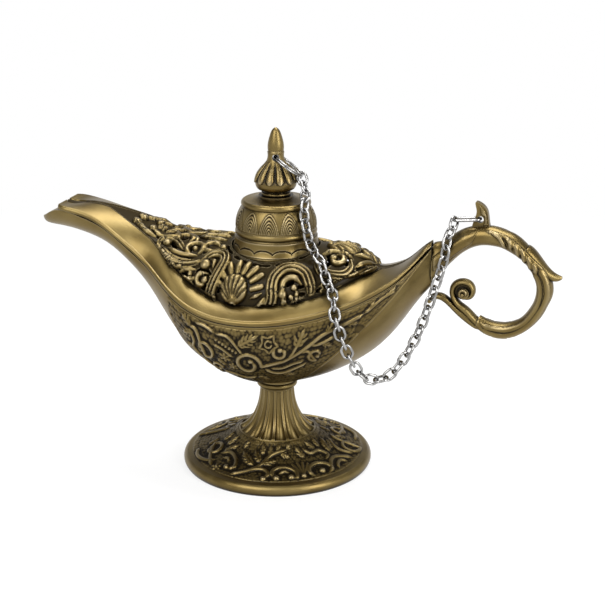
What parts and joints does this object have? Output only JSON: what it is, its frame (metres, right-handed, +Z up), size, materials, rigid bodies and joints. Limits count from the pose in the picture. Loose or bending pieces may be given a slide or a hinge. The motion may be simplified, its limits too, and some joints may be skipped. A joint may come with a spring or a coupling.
{
  "type": "genie oil lamp",
  "caption": "Table lamp of the genie kind: spouted boat-shaped bowl on a fluted pedestal foot, pierced cover, lift-off domed lid kept by a chain, scrolled loop handle.",
  "frame": {"origin": "centre of the foot, on the table", "axes": "+Z up, -X towards the spout, +X towards the handle, -Y towards the side seen in the picture"},
  "size_m": [0.2036, 0.0742, 0.133],
  "materials": {
    "antique_bronze": "antique bronze plating, dark in the recesses and rubbed bright on the raised parts",
    "nickel": "nickel plated wire",
    "steel": "zinc plated"
  },
  "bodies": {
    "lamp": {"pedestal": "antique_bronze", "pedestal_screw": "steel", "bowl": "antique_bronze", "cover": "antique_bronze", "neck_collar": "antique_bronze", "handle": "antique_bronze"},
    "lid": {"lid_dome": "antique_bronze", "finial": "antique_bronze", "finial_screw": "steel"},
    "handle_ring": {"handle_ring": "nickel"},
    "chain_link_42": {"chain_link_42": "nickel"},
    "chain_link_41": {"chain_link_41": "nickel"},
    "chain_link_40": {"chain_link_40": "nickel"},
    "chain_link_39": {"chain_link_39": "nickel"},
    "chain_link_38": {"chain_link_38": "nickel"},
    "chain_link_37": {"chain_link_37": "nickel"},
    "chain_link_36": {"chain_link_36": "nickel"},
    "chain_link_35": {"chain_link_35": "nickel"},
    "chain_link_34": {"chain_link_34": "nickel"},
    "chain_link_33": {"chain_link_33": "nickel"},
    "chain_link_32": {"chain_link_32": "nickel"},
    "chain_link_31": {"chain_link_31": "nickel"},
    "chain_link_30": {"chain_link_30": "nickel"},
    "chain_link_29": {"chain_link_29": "nickel"},
    "chain_link_28": {"chain_link_28": "nickel"},
    "chain_link_27": {"chain_link_27": "nickel"},
    "chain_link_26": {"chain_link_26": "nickel"},
    "chain_link_25": {"chain_link_25": "nickel"},
    "chain_link_24": {"chain_link_24": "nickel"},
    "chain_link_23": {"chain_link_23": "nickel"},
    "chain_link_22": {"chain_link_22": "nickel"},
    "chain_link_21": {"chain_link_21": "nickel"},
    "chain_link_20": {"chain_link_20": "nickel"},
    "chain_link_19": {"chain_link_19": "nickel"},
    "chain_link_18": {"chain_link_18": "nickel"},
    "chain_link_17": {"chain_link_17": "nickel"},
    "chain_link_16": {"chain_link_16": "nickel"},
    "chain_link_15": {"chain_link_15": "nickel"},
    "chain_link_14": {"chain_link_14": "nickel"},
    "chain_link_13": {"chain_link_13": "nickel"},
    "chain_link_12": {"chain_link_12": "nickel"},
    "chain_link_11": {"chain_link_11": "nickel"},
    "chain_link_10": {"chain_link_10": "nickel"},
    "chain_link_09": {"chain_link_09": "nickel"},
    "chain_link_08": {"chain_link_08": "nickel"},
    "chain_link_07": {"chain_link_07": "nickel"},
    "chain_link_06": {"chain_link_06": "nickel"},
    "chain_link_05": {"chain_link_05": "nickel"},
    "chain_link_04": {"chain_link_04": "nickel"},
    "chain_link_03": {"chain_link_03": "nickel"},
    "chain_link_02": {"chain_link_02": "nickel"},
    "chain_link_01": {"chain_link_01": "nickel"},
    "finial_ring": {"finial_ring": "nickel"}
  },
  "joints": [
    {"name": "lid_lift", "type": "slide", "parent": "lamp", "child": "lid", "axis": [0, 0, 1], "range_m": [0, 0.025]},
    {"name": "handle_ring_swing", "type": "hinge", "parent": "lamp", "child": "handle_ring", "pos_m": [0.0777, 0, 0.104], "axis": [0, 1, 0], "range_deg": [-5.07, 0.2]},
    {"name": "chain_link_42_swing", "type": "hinge", "parent": "handle_ring", "child": "chain_link_42", "pos_m": [0.0686, -0.00164, 0.10304], "axis": [-0.8147, 0.5736, -0.0856], "range_deg": [-0.2, 23.9]},
    {"name": "chain_link_41_swing", "type": "hinge", "parent": "chain_link_42", "child": "chain_link_41", "pos_m": [0.06803, -0.00429, 0.10029], "axis": [0.4799, 0.5838, -0.6549], "range_deg": [-22.51, 0.2]},
    {"name": "chain_link_40_swing", "type": "hinge", "parent": "chain_link_41", "child": "chain_link_40", "pos_m": [0.06699, -0.00691, 0.09765], "axis": [-0.8353, 0.5126, -0.1988], "range_deg": [-9.4, 0.2]},
    {"name": "chain_link_39_swing", "type": "hinge", "parent": "chain_link_40", "child": "chain_link_39", "pos_m": [0.06677, -0.0081, 0.09392], "axis": [0.5563, 0.7564, -0.3442], "range_deg": [-0.2, 11.45]},
    {"name": "chain_link_38_swing", "type": "hinge", "parent": "chain_link_39", "child": "chain_link_38", "pos_m": [0.0665, -0.00866, 0.09009], "axis": [-0.8036, 0.5933, -0.0465], "range_deg": [-0.2, 7.65]},
    {"name": "chain_link_37_swing", "type": "hinge", "parent": "chain_link_38", "child": "chain_link_37", "pos_m": [0.06553, -0.00924, 0.08639], "axis": [0.6001, 0.7561, -0.2613], "range_deg": [-0.2, 11.38]},
    {"name": "chain_link_36_swing", "type": "hinge", "parent": "chain_link_37", "child": "chain_link_36", "pos_m": [0.06446, -0.00972, 0.08271], "axis": [-0.7389, 0.6633, 0.1188], "range_deg": [-10.07, 0.2]},
    {"name": "chain_link_35_swing", "type": "hinge", "parent": "chain_link_36", "child": "chain_link_35", "pos_m": [0.06348, -0.01027, 0.07902], "axis": [0.6372, 0.7194, -0.2765], "range_deg": [-0.2, 12.63]},
    {"name": "chain_link_34_swing", "type": "hinge", "parent": "chain_link_35", "child": "chain_link_34", "pos_m": [0.06251, -0.01082, 0.07533], "axis": [-0.711, 0.6983, 0.083], "range_deg": [-5.2, 0.2]},
    {"name": "chain_link_33_swing", "type": "hinge", "parent": "chain_link_34", "child": "chain_link_33", "pos_m": [0.06148, -0.01141, 0.07165], "axis": [0.6711, 0.6806, -0.294], "range_deg": [-0.2, 14.56]},
    {"name": "chain_link_32_swing", "type": "hinge", "parent": "chain_link_33", "child": "chain_link_32", "pos_m": [0.0604, -0.01202, 0.068], "axis": [-0.6736, 0.7353, 0.0748], "range_deg": [-0.2, 15.1]},
    {"name": "chain_link_31_swing", "type": "hinge", "parent": "chain_link_32", "child": "chain_link_31", "pos_m": [0.05925, -0.01267, 0.06437], "axis": [0.6964, 0.6361, -0.3322], "range_deg": [-0.2, 5.07]},
    {"name": "chain_link_30_swing", "type": "hinge", "parent": "chain_link_31", "child": "chain_link_30", "pos_m": [0.05791, -0.01343, 0.06083], "axis": [-0.6326, 0.7711, 0.0722], "range_deg": [-5.07, 0.2]},
    {"name": "chain_link_29_swing", "type": "hinge", "parent": "chain_link_30", "child": "chain_link_29", "pos_m": [0.05635, -0.01431, 0.05741], "axis": [0.6871, 0.5732, -0.4465], "range_deg": [-11.18, 0.2]},
    {"name": "chain_link_28_swing", "type": "hinge", "parent": "chain_link_29", "child": "chain_link_28", "pos_m": [0.05464, -0.01529, 0.05409], "axis": [-0.5898, 0.8047, 0.0675], "range_deg": [-0.2, 5.07]},
    {"name": "chain_link_27_swing", "type": "hinge", "parent": "chain_link_28", "child": "chain_link_27", "pos_m": [0.05278, -0.01634, 0.05087], "axis": [0.6707, 0.5053, -0.543], "range_deg": [-26.19, 0.2]},
    {"name": "chain_link_26_swing", "type": "hinge", "parent": "chain_link_27", "child": "chain_link_26", "pos_m": [0.05055, -0.01761, 0.04798], "axis": [-0.5486, 0.8342, 0.0558], "range_deg": [-0.2, 15.01]},
    {"name": "chain_link_25_swing", "type": "hinge", "parent": "chain_link_26", "child": "chain_link_25", "pos_m": [0.04775, -0.01919, 0.04581], "axis": [0.4769, 0.3537, -0.8047], "range_deg": [-5.07, 0.2]},
    {"name": "chain_link_24_swing", "type": "hinge", "parent": "chain_link_25", "child": "chain_link_24", "pos_m": [0.04436, -0.02112, 0.04536], "axis": [-0.5061, 0.8576, 0.0914], "range_deg": [-5.07, 0.2]},
    {"name": "chain_link_23_swing", "type": "hinge", "parent": "chain_link_24", "child": "chain_link_23", "pos_m": [0.04113, -0.02295, 0.04665], "axis": [-0.282, -0.032, -0.9589], "range_deg": [-0.2, 16.23]},
    {"name": "chain_link_22_swing", "type": "hinge", "parent": "chain_link_23", "child": "chain_link_22", "pos_m": [0.03873, -0.02431, 0.04946], "axis": [-0.4148, 0.9048, 0.0967], "range_deg": [-14.19, 0.2]},
    {"name": "chain_link_21_swing", "type": "hinge", "parent": "chain_link_20", "child": "chain_link_21", "pos_m": [0.03563, -0.02607, 0.05634], "axis": [-0.4172, 0.9078, 0.0433], "range_deg": [-5.07, 0.2]},
    {"name": "chain_link_20_swing", "type": "hinge", "parent": "chain_link_19", "child": "chain_link_20", "pos_m": [0.03432, -0.02681, 0.0599], "axis": [-0.8302, -0.3907, -0.3977], "range_deg": [-5.07, 0.2]},
    {"name": "chain_link_19_swing", "type": "hinge", "parent": "chain_link_18", "child": "chain_link_19", "pos_m": [0.03313, -0.02749, 0.06351], "axis": [-0.4575, 0.8891, 0.0158], "range_deg": [-5.07, 0.2]},
    {"name": "chain_link_18_swing", "type": "hinge", "parent": "chain_link_17", "child": "chain_link_18", "pos_m": [0.03218, -0.0282, 0.06718], "axis": [-0.8345, -0.4535, -0.3129], "range_deg": [-0.2, 17.25]},
    {"name": "chain_link_17_swing", "type": "hinge", "parent": "chain_link_16", "child": "chain_link_17", "pos_m": [0.03143, -0.02902, 0.07088], "axis": [-0.5206, 0.8505, 0.0752], "range_deg": [-0.2, 19.38]},
    {"name": "chain_link_16_swing", "type": "hinge", "parent": "chain_link_15", "child": "chain_link_16", "pos_m": [0.03045, -0.02793, 0.07452], "axis": [-0.8342, -0.5434, -0.0943], "range_deg": [-0.2, 16.53]},
    {"name": "chain_link_15_swing", "type": "hinge", "parent": "chain_link_14", "child": "chain_link_15", "pos_m": [0.02958, -0.02525, 0.07727], "axis": [-0.4652, 0.6018, -0.6492], "range_deg": [-5.07, 0.2]},
    {"name": "chain_link_14_swing", "type": "hinge", "parent": "chain_link_13", "child": "chain_link_14", "pos_m": [0.02827, -0.02261, 0.07977], "axis": [-0.8312, -0.5374, 0.1427], "range_deg": [-5.07, 0.2]},
    {"name": "chain_link_13_swing", "type": "hinge", "parent": "chain_link_12", "child": "chain_link_13", "pos_m": [0.02563, -0.02028, 0.08147], "axis": [-0.327, 0.3404, -0.8816], "range_deg": [-8.77, 0.2]},
    {"name": "chain_link_12_swing", "type": "hinge", "parent": "chain_link_11", "child": "chain_link_12", "pos_m": [0.02427, -0.01904, 0.08497], "axis": [-0.6549, -0.7555, 0.0204], "range_deg": [-5.07, 0.2]},
    {"name": "chain_link_11_swing", "type": "hinge", "parent": "chain_link_10", "child": "chain_link_11", "pos_m": [0.02285, -0.01778, 0.08833], "axis": [-0.6792, 0.5397, -0.4974], "range_deg": [-0.2, 9.6]},
    {"name": "chain_link_10_swing", "type": "hinge", "parent": "chain_link_09", "child": "chain_link_10", "pos_m": [0.02015, -0.01535, 0.08993], "axis": [-0.617, -0.7786, 0.1141], "range_deg": [-0.2, 5.18]},
    {"name": "chain_link_09_swing", "type": "hinge", "parent": "chain_link_08", "child": "chain_link_09", "pos_m": [0.01772, -0.01253, 0.09101], "axis": [-0.356, 0.0844, -0.9307], "range_deg": [-15.06, 0.2]},
    {"name": "chain_link_08_swing", "type": "hinge", "parent": "chain_link_07", "child": "chain_link_08", "pos_m": [0.01583, -0.01041, 0.0937], "axis": [-0.6068, -0.7688, 0.2019], "range_deg": [-31.16, 0.2]},
    {"name": "chain_link_07_swing", "type": "hinge", "parent": "chain_link_06", "child": "chain_link_07", "pos_m": [0.01504, -0.01017, 0.0976], "axis": [-0.8819, 0.3795, -0.2797], "range_deg": [-0.2, 7.11]},
    {"name": "chain_link_06_swing", "type": "hinge", "parent": "chain_link_05", "child": "chain_link_06", "pos_m": [0.01395, -0.00959, 0.10126], "axis": [-0.3784, -0.9251, 0.0326], "range_deg": [-0.2, 26.53]},
    {"name": "chain_link_05_swing", "type": "hinge", "parent": "chain_link_04", "child": "chain_link_05", "pos_m": [0.01355, -0.00864, 0.10499], "axis": [-0.9125, 0.354, -0.205], "range_deg": [-0.2, 23.5]},
    {"name": "chain_link_04_swing", "type": "hinge", "parent": "chain_link_03", "child": "chain_link_04", "pos_m": [0.01367, -0.00694, 0.10847], "axis": [-0.3855, -0.8396, 0.3828], "range_deg": [-20.15, 0.2]},
    {"name": "chain_link_03_swing", "type": "hinge", "parent": "chain_link_02", "child": "chain_link_03", "pos_m": [0.01256, -0.00412, 0.11098], "axis": [-0.9052, 0.0899, -0.4154], "range_deg": [-0.2, 10.18]},
    {"name": "chain_link_02_swing", "type": "hinge", "parent": "chain_link_01", "child": "chain_link_02", "pos_m": [0.01124, -0.0014, 0.11338], "axis": [-0.3266, -0.7122, 0.6214], "range_deg": [-0.2, 8.46]},
    {"name": "chain_link_01_swing", "type": "hinge", "parent": "finial_ring", "child": "chain_link_01", "pos_m": [0.00937, 0.00047, 0.11622], "axis": [-0.8586, -0.0601, -0.5092], "range_deg": [-18.74, 0.2]},
    {"name": "finial_ring_swing", "type": "hinge", "parent": "lid", "child": "finial_ring", "pos_m": [0, 0, 0.122], "axis": [-0.309, 0.9511, 0], "range_deg": [-5.06, 0.2]}
  ],
  "couplings": [
    {"joint": "handle_ring_swing", "follows": "lid_lift", "rad_per_m": -3.3965},
    {"joint": "chain_link_42_swing", "follows": "lid_lift", "rad_per_m": 16.546},
    {"joint": "chain_link_41_swing", "follows": "lid_lift", "rad_per_m": -15.573},
    {"joint": "chain_link_40_swing", "follows": "lid_lift", "rad_per_m": -6.4202},
    {"joint": "chain_link_39_swing", "follows": "lid_lift", "rad_per_m": 7.8503},
    {"joint": "chain_link_38_swing", "follows": "lid_lift", "rad_per_m": 5.2031},
    {"joint": "chain_link_37_swing", "follows": "lid_lift", "rad_per_m": 7.8066},
    {"joint": "chain_link_36_swing", "follows": "lid_lift", "rad_per_m": -6.8904},
    {"joint": "chain_link_35_swing", "follows": "lid_lift", "rad_per_m": 8.68},
    {"joint": "chain_link_34_swing", "follows": "lid_lift", "rad_per_m": -3.492},
    {"joint": "chain_link_33_swing", "follows": "lid_lift", "rad_per_m": 10.028},
    {"joint": "chain_link_32_swing", "follows": "lid_lift", "rad_per_m": 10.403},
    {"joint": "chain_link_31_swing", "follows": "lid_lift", "rad_per_m": 3.3985},
    {"joint": "chain_link_30_swing", "follows": "lid_lift", "rad_per_m": -3.3991},
    {"joint": "chain_link_29_swing", "follows": "lid_lift", "rad_per_m": -7.6678},
    {"joint": "chain_link_28_swing", "follows": "lid_lift", "rad_per_m": 3.3989},
    {"joint": "chain_link_27_swing", "follows": "lid_lift", "rad_per_m": -18.143},
    {"joint": "chain_link_26_swing", "follows": "lid_lift", "rad_per_m": 10.34},
    {"joint": "chain_link_25_swing", "follows": "lid_lift", "rad_per_m": -3.3989},
    {"joint": "chain_link_24_swing", "follows": "lid_lift", "rad_per_m": -3.3987},
    {"joint": "chain_link_23_swing", "follows": "lid_lift", "rad_per_m": 11.192},
    {"joint": "chain_link_22_swing", "follows": "lid_lift", "rad_per_m": -9.7689},
    {"joint": "chain_link_21_swing", "follows": "lid_lift", "rad_per_m": -3.3986},
    {"joint": "chain_link_20_swing", "follows": "lid_lift", "rad_per_m": -3.3992},
    {"joint": "chain_link_19_swing", "follows": "lid_lift", "rad_per_m": -3.399},
    {"joint": "chain_link_18_swing", "follows": "lid_lift", "rad_per_m": 11.906},
    {"joint": "chain_link_17_swing", "follows": "lid_lift", "rad_per_m": 13.393},
    {"joint": "chain_link_16_swing", "follows": "lid_lift", "rad_per_m": 11.402},
    {"joint": "chain_link_15_swing", "follows": "lid_lift", "rad_per_m": -3.3988},
    {"joint": "chain_link_14_swing", "follows": "lid_lift", "rad_per_m": -3.3976},
    {"joint": "chain_link_13_swing", "follows": "lid_lift", "rad_per_m": -5.9843},
    {"joint": "chain_link_12_swing", "follows": "lid_lift", "rad_per_m": -3.3981},
    {"joint": "chain_link_11_swing", "follows": "lid_lift", "rad_per_m": 6.5624},
    {"joint": "chain_link_10_swing", "follows": "lid_lift", "rad_per_m": 3.4754},
    {"joint": "chain_link_09_swing", "follows": "lid_lift", "rad_per_m": -10.372},
    {"joint": "chain_link_08_swing", "follows": "lid_lift", "rad_per_m": -21.612},
    {"joint": "chain_link_07_swing", "follows": "lid_lift", "rad_per_m": 4.8262},
    {"joint": "chain_link_06_swing", "follows": "lid_lift", "rad_per_m": 18.382},
    {"joint": "chain_link_05_swing", "follows": "lid_lift", "rad_per_m": 16.266},
    {"joint": "chain_link_04_swing", "follows": "lid_lift", "rad_per_m": -13.93},
    {"joint": "chain_link_03_swing", "follows": "lid_lift", "rad_per_m": 6.97},
    {"joint": "chain_link_02_swing", "follows": "lid_lift", "rad_per_m": 5.7632},
    {"joint": "chain_link_01_swing", "follows": "lid_lift", "rad_per_m": -12.941},
    {"joint": "finial_ring_swing", "follows": "lid_lift", "rad_per_m": -3.394}
  ]
}
